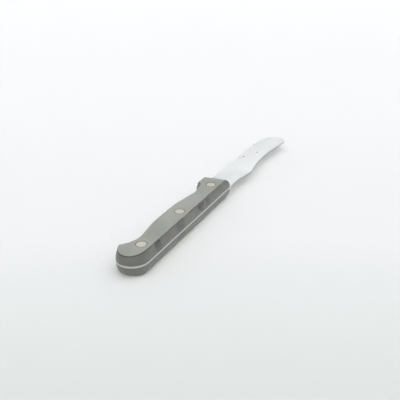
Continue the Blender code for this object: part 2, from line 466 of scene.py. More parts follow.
class Loft:
    """A closed body that is skinned ring by ring, with its edge wear kept at the vertices."""

    def __init__(self) -> None:
        """Starts an empty body."""
        self.shape = bmesh.new()
        self.wear = self.shape.verts.layers.float.new(WEAR)
        self.rings: list[list[bmesh.types.BMVert]] = []

    def add_ring(self, places: Sequence[Vector], wear: Sequence[float] | float = 0.0) -> None:
        """Adds a ring and joins it to the last one by a band of quads.

        Args:
            places: Where the ring's vertices lie in the frame.
            wear: Their edge wear, one value for each or one for all.
        """
        ring = [self.shape.verts.new(place) for place in places]
        amounts = [wear] * len(ring) if isinstance(wear, float) else wear
        for vertex, amount in zip(ring, amounts):
            vertex[self.wear] = amount
        if self.rings:
            last = self.rings[-1]
            for index in range(len(ring)):
                corners = (last[index - 1], last[index], ring[index], ring[index - 1])
                self.shape.faces.new(corners).smooth = True
        self.rings.append(ring)

    def cap(self, ring: int) -> bmesh.types.BMFace:
        """Closes the body at its first ring, 0, or its last one, -1, with a face that is shaded flat."""
        return self.shape.faces.new(self.rings[ring])

    def finish(self, name: str) -> Piece:
        """Turns the body into a named object of the scene."""
        bmesh.ops.recalc_face_normals(self.shape, faces=self.shape.faces)
        return to_object(self.shape, name)


def drilled(piece: Piece, drills: Sequence[Piece]) -> Piece:
    """Cuts the drills' shapes out of a piece and keeps the result, without slivers, as its mesh.

    Args:
        piece: The piece that is drilled.
        drills: Closed objects that show what is taken away.

    Returns:
        The same piece.
    """
    for drill in drills:
        hole = piece.modifiers.new(drill.name, "BOOLEAN")
        hole.operation = "DIFFERENCE"
        hole.solver = "EXACT"
        hole.object = drill
    depsgraph = bpy.context.evaluated_depsgraph_get()
    finished = piece.evaluated_get(depsgraph)
    mesh = bpy.data.meshes.new_from_object(finished, preserve_all_data_layers=True, depsgraph=depsgraph)
    piece.modifiers.clear()
    welded = bmesh.new()
    welded.from_mesh(mesh)
    bmesh.ops.remove_doubles(welded, verts=welded.verts, dist=WELD)
    bmesh.ops.dissolve_degenerate(welded, edges=welded.edges, dist=WELD)
    welded.to_mesh(mesh)
    welded.free()
    piece.data = mesh
    return piece


def fit_out(piece: Piece, node: str, slot: Slot, material: Material) -> Piece:
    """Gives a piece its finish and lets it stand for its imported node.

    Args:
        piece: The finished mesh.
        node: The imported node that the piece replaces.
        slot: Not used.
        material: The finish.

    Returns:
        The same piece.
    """
    piece.data.materials.clear()
    piece.data.materials.append(material)
    piece.data.set_sharp_from_angle(angle=CREASE)
    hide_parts(node)
    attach(piece, "root")
    return piece


# Finishes


@dataclass(frozen=True)
class Spot:
    """A mark on a surface: where it is in the frame, how far it reaches and how strongly it shows."""

    centre: Triple
    radius: float
    strength: float


@dataclass(frozen=True)
class Pattern:
    """Noise on a surface, whose blotches have a real size along X, Y and Z.

    Detail counts its finer layers. Its values between the limits are stretched to the shares.
    """

    size: Triple
    detail: float = 2.0
    limits: Range = (0.35, 0.65)
    shares: Range = RISING


def even(size: float) -> Triple:
    """The same size along X, Y and Z."""
    return size, size, size


class NodeSketch:
    """A node tree that is drawn a node at a time."""

    def __init__(self, tree: bpy.types.NodeTree) -> None:
        """Starts with the tree as it is."""
        self.tree = tree

    def node(
        self, kind: str, inputs: Mapping[str | int, object] | None = None, **settings: object
    ) -> bpy.types.Node:
        """Adds a node.

        Args:
            kind: The node's type.
            inputs: What each input holds: a value, or a socket that is linked to it.
            **settings: The node's own properties.

        Returns:
            The new node.
        """
        made = self.tree.nodes.new(kind)
        for name, value in settings.items():
            setattr(made, name, value)
        for place, value in (inputs or {}).items():
            self.feed(made.inputs[place], value)
        return made

    def feed(self, target: Socket, value: object) -> None:
        """Fills an input.

        Args:
            target: The input.
            value: What it is set to, or the socket that is linked to it.
        """
        if isinstance(value, Socket):
            self.tree.links.new(value, target)
        else:
            target.default_value = value

    def ranged(
        self, value: Socket, source: Sequence[object], target: Sequence[object], soft: bool = False
    ) -> Socket:
        """Stretches a value from one range to another, held inside it.

        Args:
            value: The socket that is stretched.
            source: The ends of its own range.
            target: What those ends become.
            soft: Whether it eases in and out.

        Returns:
            The stretched value.
        """
        inputs = dict(enumerate((value, *source, *target)))
        kind = "SMOOTHSTEP" if soft else "LINEAR"
        return self.node("ShaderNodeMapRange", inputs, interpolation_type=kind).outputs[0]

    def math(self, operation: str, *values: object) -> Socket:
        """Joins two or three values by a sum, product or other operation."""
        return self.node("ShaderNodeMath", dict(enumerate(values)), operation=operation).outputs[0]

    def joined(self, operation: str, values: Sequence[object]) -> Socket:
        """Joins any number of values, two at a time."""
        return reduce(partial(self.math, operation), values)

    def vector(self, operation: str, *vectors: object) -> Socket:
        """Joins vectors or colours by a sum, product or other operation."""
        return self.node("ShaderNodeVectorMath", dict(enumerate(vectors)), operation=operation).outputs[0]

    def scaled(self, vector: object, factor: Socket) -> Socket:
        """A vector or colour times a number."""
        inputs = {0: vector, "Scale": factor}
        return self.node("ShaderNodeVectorMath", inputs, operation="SCALE").outputs[0]

    def measured(self, operation: str, vector: Socket, other: Sequence[float]) -> Socket:
        """The number that an operation, such as DISTANCE, gives for two vectors."""
        inputs = {0: vector, 1: other}
        return self.node("ShaderNodeVectorMath", inputs, operation=operation).outputs["Value"]

    def along(self, vector: Socket, direction: Sequence[float]) -> Socket:
        """How far a vector reaches in a direction."""
        return self.measured("DOT_PRODUCT", vector, direction)

    def mixed(self, share: object, first: object, second: object) -> Socket:
        """Mixes two colours.

        Args:
            share: How much of the second colour shows.
            first: A colour or a colour socket.
            second: The other one.

        Returns:
            The mixed colour.
        """
        colours = [(*colour, 1.0) if isinstance(colour, tuple) else colour for colour in (first, second)]
        inputs = {0: share, **dict(zip(MIXED_COLOURS, colours))}
        return self.node("ShaderNodeMix", inputs, data_type="RGBA").outputs[MIXED_RESULT]


class ShaderSketch(NodeSketch):
    """The node tree of one material, drawn around its Principled shader."""

    def __init__(self, name: str) -> None:
        """Starts a material whose textures are laid out in metres.

        Args:
            name: The material's name.
        """
        self.material = bpy.data.materials.new(name)
        self.material.use_nodes = True
        super().__init__(self.material.node_tree)
        self.shader = self.tree.nodes["Principled BSDF"]
        self.position = self.node("ShaderNodeTexCoord").outputs["Object"]

    def noise(self, pattern: Pattern) -> Socket:
        """The plain noise of a pattern.

        Args:
            pattern: The blotches' size and their finer layers.

        Returns:
            Its values, on both sides of their mean.
        """
        scale = tuple(1 / length for length in pattern.size)
        stretched = self.node("ShaderNodeMapping", {"Vector": self.position, "Scale": scale}).outputs[0]
        inputs = {"Vector": stretched, "Scale": 1.0, "Detail": pattern.detail}
        return self.node("ShaderNodeTexNoise", inputs).outputs[0]

    def shown(self, pattern: Pattern) -> Socket:
        """The noise of a pattern, stretched to its shares."""
        return self.ranged(self.noise(pattern), pattern.limits, pattern.shares)

    def wobbled(self, size: float, reach: float) -> Socket:
        """The position, pushed about so that what is drawn with it gets an uneven outline.

        Args:
            size: How long a wobble is.
            reach: How far it pushes a point at most.

        Returns:
            The uneven position.
        """
        inputs = {"Vector": self.position, "Scale": 1 / size}
        push = self.node("ShaderNodeTexNoise", inputs).outputs["Color"]
        centred = self.vector("SUBTRACT", push, even(NOISE_MEAN))
        return self.vector("MULTIPLY_ADD", centred, even(reach / NOISE_MEAN), self.position)

    def wear(self, limits: Range = RISING, most: float = 1.0) -> Socket:
        """The edge wear that the mesh holds, from 0 at the lower limit to the most at the upper one."""
        held = self.node("ShaderNodeAttribute", attribute_name=WEAR).outputs["Fac"]
        return self.ranged(held, limits, (0.0, most))

    def flatness(self) -> Socket:
        """1 where the surface lies flat, 0 where it stands upright."""
        normal = self.node("ShaderNodeNewGeometry").outputs["Normal"]
        return self.math("ABSOLUTE", self.along(normal, UPWARDS))

    def spot(self, spot: Spot, position: Socket) -> Socket:
        """How strongly a spot shows at a position: in full up to half its radius, then fading out."""
        distance = self.measured("DISTANCE", position, spot.centre)
        return self.ranged(distance, (spot.radius / 2, spot.radius), (spot.strength, 0.0), soft=True)

    def strongest(self, spots: Sequence[Spot], position: Socket) -> Socket:
        """How strongly the strongest of several spots shows at a position."""
        return self.joined("MAXIMUM", [self.spot(spot, position) for spot in spots])

    def disc(self, centre: Triple, edge: Range) -> Socket:
        """1 in a disc in plan, at any height, and 0 round it, with a fading edge between two radii."""
        flattened = self.vector("MULTIPLY", self.position, (1.0, 1.0, 0.0))
        return self.ranged(self.measured("DISTANCE", flattened, (*centre[:2], 0.0)), edge, FADING)

    def relief(self, height: Socket, depth: float) -> None:
        """Gives the shader a fine relief, as deep as depth where the height goes from 0 to 1."""
        inputs = {"Height": height, "Strength": RELIEF_STRENGTH, "Distance": depth}
        self.feed(self.shader.inputs["Normal"], self.node("ShaderNodeBump", inputs).outputs[0])

    def surface(self, colour: object, roughness: object, metallic: float) -> Material:
        """Finishes the material.

        Args:
            colour: Its base colour.
            roughness: How dull it is.
            metallic: 1 for a metal, 0 for anything else.

        Returns:
            The finished material.
        """
        self.feed(self.shader.inputs["Base Color"], colour)
        self.feed(self.shader.inputs["Roughness"], roughness)
        self.feed(self.shader.inputs["Metallic"], metallic)
        return self.material


class Finish(ABC):
    """A finish that a sub-assembly can be dressed in."""

    @abstractmethod
    def material(self) -> Material:
        """The finish as a material."""


@dataclass(frozen=True)
class SatinSteel(Finish):
    """Stainless steel, finely brushed along the blade, with a darker patch on its face just in front of the
    handle and a few dull specks.
    """

    colour: Triple = (0.700, 0.725, 0.730)
    smear_colour: Triple = (0.670, 0.698, 0.705)
    mark_colour: Triple = (0.25, 0.26, 0.25)
    tang_rim_colour: Triple = (0.610, 0.605, 0.570)
    blade_rim_colour: Triple = (0.450, 0.470, 0.470)
    blade_start: Range = (0.0048, 0.0108)  # where the tang's rim turns into the blade's
    rim_slope: Range = (0.3, 0.6)  # cosines of the slope, from the stamped rim to the flat
    rim_roughness: float = 0.45
    smear: Pattern = Pattern((0.018, 0.006, 0.006), 3.0, (0.35, 0.7))
    brush: Pattern = Pattern((0.016, 0.00009, 0.00009), 3.0, (0.3, 0.7), (0.20, 0.32))
    brush_depth: float = 0.000004
    edge_polish: float = 0.06
    mark_wobble: float = 0.0012
    mark_reach: float = 0.0009
    marks: tuple[Spot, ...] = (
        # A darker patch on the face of the blade just in front of the handle.
        Spot((0.01475, -0.0050, 0.0075), 0.0220, 0.16),
        Spot((0.05775, 0.0055, 0.0075), 0.0015, 0.72),
        Spot((0.05525, 0.0068, 0.0075), 0.0014, 0.38),
        Spot((0.07035, -0.0008, 0.0075), 0.0014, 0.55),
        Spot((0.08575, 0.0080, 0.0075), 0.0015, 0.30),
    )

    def material(self) -> Material:
        """Draws brushed metal: smears, specks, brush marks in its gloss and relief, and a dull stamped rim.

        Returns:
            The blade's material.
        """
        sketch = ShaderSketch("satin_stainless_steel")
        colour = sketch.mixed(sketch.shown(self.smear), self.colour, self.smear_colour)
        uneven = sketch.wobbled(self.mark_wobble, self.mark_reach)
        for mark in self.marks:
            colour = sketch.mixed(sketch.spot(mark, uneven), colour, self.mark_colour)
        in_front = sketch.ranged(sketch.along(sketch.position, FORWARDS), self.blade_start, RISING)
        rim_colour = sketch.mixed(in_front, self.tang_rim_colour, self.blade_rim_colour)
        rim = sketch.ranged(sketch.flatness(), self.rim_slope, FADING)
        brush = sketch.noise(self.brush)
        brushed = sketch.ranged(brush, self.brush.limits, self.brush.shares)
        polished = sketch.math("SUBTRACT", brushed, sketch.wear(most=self.edge_polish))
        roughness = sketch.ranged(rim, RISING, (polished, self.rim_roughness))
        sketch.relief(brush, self.brush_depth)
        return sketch.surface(sketch.mixed(rim, colour, rim_colour), roughness, metallic=1.0)


@dataclass(frozen=True)
class HandleResin(Finish):
    """Dark grey moulded resin with a dull sheen, with stain marks from use and edges polished by the hand.
    Its ground face is painted paler than its walls, partly a sanded finish and partly painted light from
    above, and painted shade darkens its walls just under the rim and the front of its face.
    """

    rivet_centres: tuple[Triple, ...]
    # The ground face's colour holds painted light from above as well as its sanded finish, and the walls'
    # colour holds painted shade.
    shaded_wall_colour: Triple = (0.185, 0.189, 0.172)
    sanded_and_lit_face_colour: Triple = (0.299, 0.315, 0.288)
    worn_colour: Triple = (0.26, 0.265, 0.245)
    grime_colour: Triple = (0.085, 0.072, 0.055)
    warm_tint: Triple = (1.02, 1.00, 0.96)
    cool_tint: Triple = (0.97, 1.01, 1.02)
    mottle_shade: float = 0.87
    stain_and_shade_darkness: float = 0.22
    tint_cloud: Pattern = Pattern((0.010, 0.007, 0.006), limits=(0.40, 0.60))
    mottle: Pattern = Pattern((0.014, 0.008, 0.008), 4.0, (0.38, 0.62))
    grain: Pattern = Pattern(even(0.00035), 3.0, (0.35, 0.75), (0.0, 0.3))
    scratch: Pattern = Pattern((0.012, 0.00018, 0.00018), 1.0, (0.66, 0.74))
    scratch_lightness: float = 0.2
    scratch_depth: float = 0.6  # as a share of the grain's
    grain_depth: float = 0.00002
    grain_gloss: Range = (0.3, 0.7)
    roughness: Range = (0.2, 0.3)
    ground_slope: Range = (0.86, 0.93)  # cosines of the slope, from a wall to the ground face
    ground_dulling: float = 0.07
    sheen: float = 0.5
    chafe: Pattern = Pattern(even(0.003), shares=(0.2, 0.7))
    chafed_wear: Range = (0.75, 0.95)
    chafed_gloss: float = 0.08
    # Painted shade: a dark band on the walls just under the rim, in runs and fullest round the butt; where
    # it is missing, the wall is rubbed paler.
    rim_shade_run: Pattern = Pattern(even(0.006), limits=(0.40, 0.60), shares=(0.15, 0.8))
    rim_shade_wear: Range = (0.05, 0.35)
    rim_shade: float = 0.70
    rubbed_wear: Range = (0.05, 0.6)
    rubbed: float = 0.55
    rivet_dirt: float = 0.5
    rivet_dirt_edge: Range = (0.0031, 0.0038)
    shaded_butt_rim: Spot = Spot((-0.10775, 0.0005, 0.0125), 0.022, 1.0)
    patch: Pattern = Pattern((0.0035, 0.0030, 0.0020), 3.0, shares=(0.5, 1.0))
    spot_wobble: float = 0.0035
    spot_reach: float = 0.0030
    wall_stain_and_shade_spots: tuple[Spot, ...] = (
        Spot((-0.08805, -0.0060, 0.0122), 0.0042, 0.80),
        Spot((-0.08725, -0.0066, 0.0095), 0.0046, 0.45),
        Spot((-0.03705, -0.0068, 0.0118), 0.0050, 0.85),
        Spot((-0.02775, -0.0070, 0.0112), 0.0045, 0.60),
        Spot((-0.06325, -0.0072, 0.0095), 0.0070, 0.45),
        # Painted shade where the wall at the guard turns away from the light; the spots above are stain
        # marks.
        Spot((-0.00925, 0.0100, 0.0118), 0.0042, 1.00),
    )
    # A faint stain at the rear of the face, and painted shade over its front.
    face_stain_and_shade_spots: tuple[Spot, ...] = (
        Spot((-0.07825, 0.0010, 0.0139), 0.0120, 0.13),
        Spot((-0.00725, 0.0000, 0.0139), 0.0240, 0.20),
    )

    def marks_and_shade(self, sketch: ShaderSketch, ground: Socket) -> tuple[Socket, Socket]:
        """Stain marks and painted shade on the walls and on the face.

        Args:
            sketch: The material's sketch.
            ground: 1 on the ground face, 0 on the walls.

        Returns:
            How strongly the painted shade runs along the rim there, and how dark the stain marks and the
            painted shade show.
        """
        uneven = sketch.wobbled(self.spot_wobble, self.spot_reach)
        upright = sketch.ranged(ground, RISING, FADING)
        runs = sketch.math("MAXIMUM", sketch.shown(self.rim_shade_run), sketch.spot(self.shaded_butt_rim, uneven))
        # Painted shade just under the rim.
        shade_below_rim = sketch.joined("MULTIPLY", (sketch.wear(self.rim_shade_wear, self.rim_shade), runs, upright))
        on_walls = sketch.math("MULTIPLY", sketch.strongest(self.wall_stain_and_shade_spots, uneven), upright)
        stains_and_shade = sketch.math("MAXIMUM", on_walls, sketch.strongest(self.face_stain_and_shade_spots, uneven))
        patchy = sketch.math("MULTIPLY", stains_and_shade, sketch.shown(self.patch))
        return runs, sketch.math("MAXIMUM", patchy, shade_below_rim)

    def material(self) -> Material:
        """Draws moulded plastic: clouds, fine grain, hairline scratches, stain marks, painted light and
        shade, and grime round the rivets.

        Returns:
            The scales' material.
        """
        sketch = ShaderSketch("dark_grey_handle_resin")
        grain = sketch.noise(self.grain)
        scratches = sketch.shown(self.scratch)
        ground = sketch.ranged(sketch.flatness(), self.ground_slope, RISING)
        runs, stains_and_shade = self.marks_and_shade(sketch, ground)

        tint = sketch.mixed(sketch.shown(self.tint_cloud), self.cool_tint, self.warm_tint)
        # Painted light and shade: the ground face is paler than the walls, partly as its sanded finish and
        # partly as painted light from above.
        moulded = sketch.vector("MULTIPLY", sketch.mixed(ground, self.shaded_wall_colour, self.sanded_and_lit_face_colour), tint)
        unshaded_rim = sketch.ranged(runs, self.rim_shade_run.shares, (self.rubbed, 0.0))
        rubbed = sketch.math("MULTIPLY", unshaded_rim, sketch.wear(self.rubbed_wear))
        speckle = sketch.ranged(grain, self.grain.limits, self.grain.shares)
        mottle = sketch.math("MAXIMUM", sketch.shown(self.mottle), speckle)
        mottled = sketch.ranged(mottle, RISING, (1.0, self.mottle_shade))
        # Stain marks and painted shade darken the colour.
        stained_and_shaded = sketch.ranged(stains_and_shade, RISING, (1.0, self.stain_and_shade_darkness))
        shade = sketch.math("MULTIPLY", mottled, stained_and_shaded)
        colour = sketch.scaled(sketch.mixed(rubbed, moulded, self.sanded_and_lit_face_colour), shade)

        chafed = sketch.math("MULTIPLY", sketch.wear(self.chafed_wear), sketch.shown(self.chafe))
        scratched = sketch.math("MULTIPLY", scratches, self.scratch_lightness)
        colour = sketch.mixed(sketch.math("MAXIMUM", chafed, scratched), colour, self.worn_colour)
        for centre in self.rivet_centres:
            grime = sketch.math("MULTIPLY", sketch.disc(centre, self.rivet_dirt_edge), self.rivet_dirt)
            colour = sketch.mixed(grime, colour, self.grime_colour)

        grainy = sketch.ranged(grain, self.grain_gloss, self.roughness)
        dull = sketch.math("MULTIPLY_ADD", ground, self.ground_dulling, grainy)
        polish = sketch.math("MULTIPLY", chafed, self.chafed_gloss)
        furrows = sketch.math("MULTIPLY", scratches, self.scratch_depth)
        sketch.relief(sketch.math("SUBTRACT", grain, furrows), self.grain_depth)
        sketch.feed(sketch.shader.inputs["Specular IOR Level"], self.sheen)
        return sketch.surface(colour, sketch.math("SUBTRACT", dull, polish), metallic=0.0)


@dataclass(frozen=True)
class NickelSilver(Finish):
    """Pale nickel silver, ground flush with the scales and tarnished at the rim."""

    colour: Triple = (0.47, 0.45, 0.40)
    tarnish_colour: Triple = (0.30, 0.25, 0.185)
    rim_tarnish: float = 0.8
    blotch: Pattern = Pattern(even(0.0018), shares=(0.0, 0.18))
    grinding: Pattern = Pattern((0.005, 0.00007, 0.00007), limits=(0.3, 0.7), shares=(0.24, 0.40))
    grinding_depth: float = 0.000005

    def material(self) -> Material:
        """Draws ground metal: grinding marks in its gloss and relief, and tarnish in its colour.

        Returns:
            The rivets' material.
        """
        sketch = ShaderSketch("nickel_silver")
        tarnish = sketch.math("MAXIMUM", sketch.shown(self.blotch), sketch.wear(most=self.rim_tarnish))
        grinding = sketch.noise(self.grinding)
        roughness = sketch.ranged(grinding, self.grinding.limits, self.grinding.shares)
        sketch.relief(grinding, self.grinding_depth)
        colour = sketch.mixed(tarnish, self.colour, self.tarnish_colour)
        return sketch.surface(colour, roughness, metallic=1.0)


# Sub-assemblies


@dataclass(frozen=True)
class SteelBlade:
    """The blade and its tang, stamped from one sheet, with a grind on each side of the cutting edge."""

    plan: KnifePlan
    bench: Bench
    edge_thickness: float = 0.0003
    edge_break: float = 0.0001
    grind_width: float = 0.0115
    grind_swell: float = 0.00003
    plunge_start: float = 0.0020
    plunge_length: float = 0.0090
    longest_edge: float = 0.0015
    section_steps: int = 8

    def grind_share(self, point: OutlinePoint) -> float:
        """How much of the grind's width a point of the outline has: 1 at the edge, 0 at the back."""
        run = (point.along - self.plan.handle_length - self.plunge_start) / self.plunge_length
        return eased(min(max(run, 0.0), 1.0)) * max(0.0, math.sin(point.outward)) ** 2

    def section(self, point: OutlinePoint, share: float) -> Triple:
        """A point of the upper half of the steel's section.

        Args:
            point: The point of the outline that the section starts from.
            share: 0 on the rim, 1 where the flat begins.

        Returns:
            Along, up and height.
        """
        half = self.bench.half_steel
        grind = self.grind_share(point)
        full = half - self.edge_break
        inset = grind * (self.grind_width - self.edge_break)
        rim = (point.along, point.up, full + grind * (self.edge_thickness / 2 - full))
        flat = (
            point.along - self.edge_break * math.cos(point.outward),
            point.up - self.edge_break * math.sin(point.outward) - inset,
            half,
        )
        along, up, height = between(rim, flat, 1 / 2)
        swollen = (along, up, height + self.grind_swell)
        square = (point.along, point.up, half)
        return bend(rim, between(square, swollen, grind), flat, share)

    def build(self, drills: Sequence[Piece]) -> Piece:
        """Skins the steel from its lower flat round the rim to its upper one, and drills the tang.

        Args:
            drills: What is taken away for the rivets.

        Returns:
            The steel.
        """
        outline = self.plan.steel_outline().points()
        path = divided(outline, pieces_per_stretch(outline, self.longest_edge))
        shares = [step / self.section_steps for step in range(self.section_steps + 1)]
        loft = Loft()
        for side, steps in ((Side.LOWER, reversed(shares)), (Side.UPPER, shares)):
            for share in steps:
                points = [self.section(point, share) for point in path]
                places = [self.bench.place((along, up, side.value * height)) for along, up, height in points]
                loft.add_ring(places, (1 - share) ** 2)
        loft.cap(0)
        loft.cap(-1)
        return drilled(loft.finish("steel_blade"), drills)

    def dress(self, piece: Piece, material: Material) -> Piece:
        """Gives the blade its brushed finish."""
        return fit_out(piece, "blade_and_tang", Slot.STEEL, material)


class WallLevels:
    """A scale's outline at many levels above its foot, which can be read at any height between them."""

    def __init__(self, levels: list[list[OutlinePoint]], top: float) -> None:
        """Keeps the levels, which are evenly spaced from the foot to the top."""
        self.levels = levels
        self.spacing = top / (len(levels) - 1)

    def at(self, index: int, height: float) -> tuple[float, float]:
        """Where a point of the outline has moved to.

        Args:
            index: Which point of the outline.
            height: How far above the foot.

        Returns:
            Along and up.
        """
        lower = min(int(height / self.spacing), len(self.levels) - 2)
        share = height / self.spacing - lower
        point = self.levels[lower][index].towards(self.levels[lower + 1][index], share)
        return point.along, point.up


@dataclass(frozen=True)
class HandleScale:
    """A moulded scale: arched walls, a rounded rim, and a flat face that falls away at the butt."""

    side: Side
    plan: KnifePlan
    bench: Bench
    side_inset: float = 0.0017
    butt_inset: float = 0.0024
    front_inset: float = 0.0047
    butt_fall: float = 0.0016
    butt_fall_length: float = 0.0100
    rim_round: float = 0.00018
    worn_width: float = 0.0009
    longest_edge: float = 0.0012
    level_count: int = 25
    wall_steps: int = 14
    rim_steps: int = 4
    fall_steps: int = 14
    search_steps: int = 30
    cut_tolerance: float = 1e-7

    @property
    def name(self) -> str:
        """The scale's name, such as upper_scale."""
        return f"{self.side.name.lower()}_scale"

    @property
    def thickness(self) -> float:
        """How thick the scale is."""
        return self.bench.half_handle - self.bench.scale_foot

    def face_height(self, along: float) -> float:
        """How high above the scale's foot its outer face lies."""
        run = max(0.0, self.butt_fall_length - along)
        return self.thickness - arc_fall(run, self.butt_fall_length, self.butt_fall)

    def levels(self, extra_inset: float) -> WallLevels:
        """Draws the outline at every level, as far in as the walls arch there.

        Args:
            extra_inset: How much further in it is drawn.

        Returns:
            The levels.
        """
        foot = self.plan.scale_outline()
        foot_path = foot.points()
        pieces = pieces_per_stretch(foot_path, self.longest_edge)
        sides = [self.side_inset] * len(foot.corners)
        sides[0] = self.butt_inset  # the side that closes the butt
        sides[-2] = self.front_inset  # the slanted front
        paths = []
        for level in range(self.level_count):
            height = self.thickness * level / (self.level_count - 1)
            insets = [arc_fall(height, self.thickness, side) + extra_inset for side in sides]
            paths.append(divided(foot.drawn_in(insets).points(), pieces))
        return WallLevels(paths, self.thickness)

    def rim_heights(self, walls: WallLevels) -> list[float]:
        """Finds where each point's wall meets the outer face.

        Args:
            walls: The walls' levels.

        Returns:
            The heights above the foot.
        """
        heights = []
        for index in range(len(walls.levels[0])):
            low, high = 0.0, self.thickness
            for _ in range(self.search_steps):
                middle = (low + high) / 2
                if middle < self.face_height(walls.at(index, middle)[0]):
                    low = middle
                else:
                    high = middle
            heights.append((low + high) / 2)
        return heights

    def ring(self, points: Sequence[Triple]) -> list[Vector]:
        """Places points whose heights count from the scale's foot."""
        face, foot = self.side.value, self.bench.scale_foot
        return [self.bench.place((along, up, face * (foot + height))) for along, up, height in points]

    def on_face(self, levels: WallLevels, heights: Sequence[float]) -> list[Triple]:
        """Points of a ring on the outer face, further in than the rim."""
        plan_points = [levels.at(index, height) for index, height in enumerate(heights)]
        return [(along, up, self.face_height(along)) for along, up in plan_points]

    def build(self, drills: Sequence[Piece]) -> Piece:
        """Skins the scale from its foot over the rim to its outer face, and drills it.

        Args:
            drills: What is taken away for the rivets.

        Returns:
            The scale.
        """
        walls = self.levels(0.0)
        heights = self.rim_heights(walls)
        loft = Loft()
        for step in range(self.wall_steps + 1):
            levels = [(height - self.rim_round) * step / self.wall_steps for height in heights]
            wall = [(*walls.at(index, level), level) for index, level in enumerate(levels)]
            nearness = [1 - (top - level) / self.worn_width for top, level in zip(heights, levels)]
            loft.add_ring(self.ring(wall), [max(0.0, near) ** 2 for near in nearness])
        rim = [(*walls.at(index, height), height) for index, height in enumerate(heights)]
        inside = self.on_face(self.levels(self.rim_round), heights)
        for step in range(1, self.rim_steps + 1):
            share = step / self.rim_steps
            rounded = [bend(*three, share) for three in zip(wall, rim, inside)]
            loft.add_ring(self.ring(rounded), 1 - abs(2 * share - 1) / 2)  # most worn halfway round
        loft.add_ring(self.ring(self.on_face(self.levels(self.worn_width), heights)))
        loft.cap(0)
        self._face(loft)
        return drilled(loft.finish(self.name), drills)

    def _face(self, loft: Loft) -> None:
        """Closes the outer face with strips that follow its fall at the butt.

        Args:
            loft: The scale, open at its last ring.
        """
        outside = self.bench.middle + self.side.value * self.bench.half_handle
        for vertex in loft.rings[-1]:
            vertex.co.z = outside
        face = loft.cap(-1)
        face.smooth = True
        strips = [face]
        for step in range(1, self.fall_steps + 1):
            cut = Vector((self.bench.butt + self.butt_fall_length * step / self.fall_steps, 0.0, 0.0))
            parts = {part for strip in strips for part in (strip, *strip.edges, *strip.verts)}
            made = bmesh.ops.bisect_plane(
                loft.shape, geom=list(parts), dist=self.cut_tolerance, plane_co=cut, plane_no=FORWARDS
            )
            strips = [part for part in made["geom"] if isinstance(part, bmesh.types.BMFace)]
        for vertex in {vertex for strip in strips for vertex in strip.verts}:
            height = self.bench.scale_foot + self.face_height(vertex.co.x - self.bench.butt)
            vertex.co.z = self.bench.middle + self.side.value * height

    def dress(self, piece: Piece, material: Material) -> Piece:
        """Gives the scale its resin finish."""
        return fit_out(piece, f"handle_scale_{self.side.name.lower()}", Slot.RESIN, material)


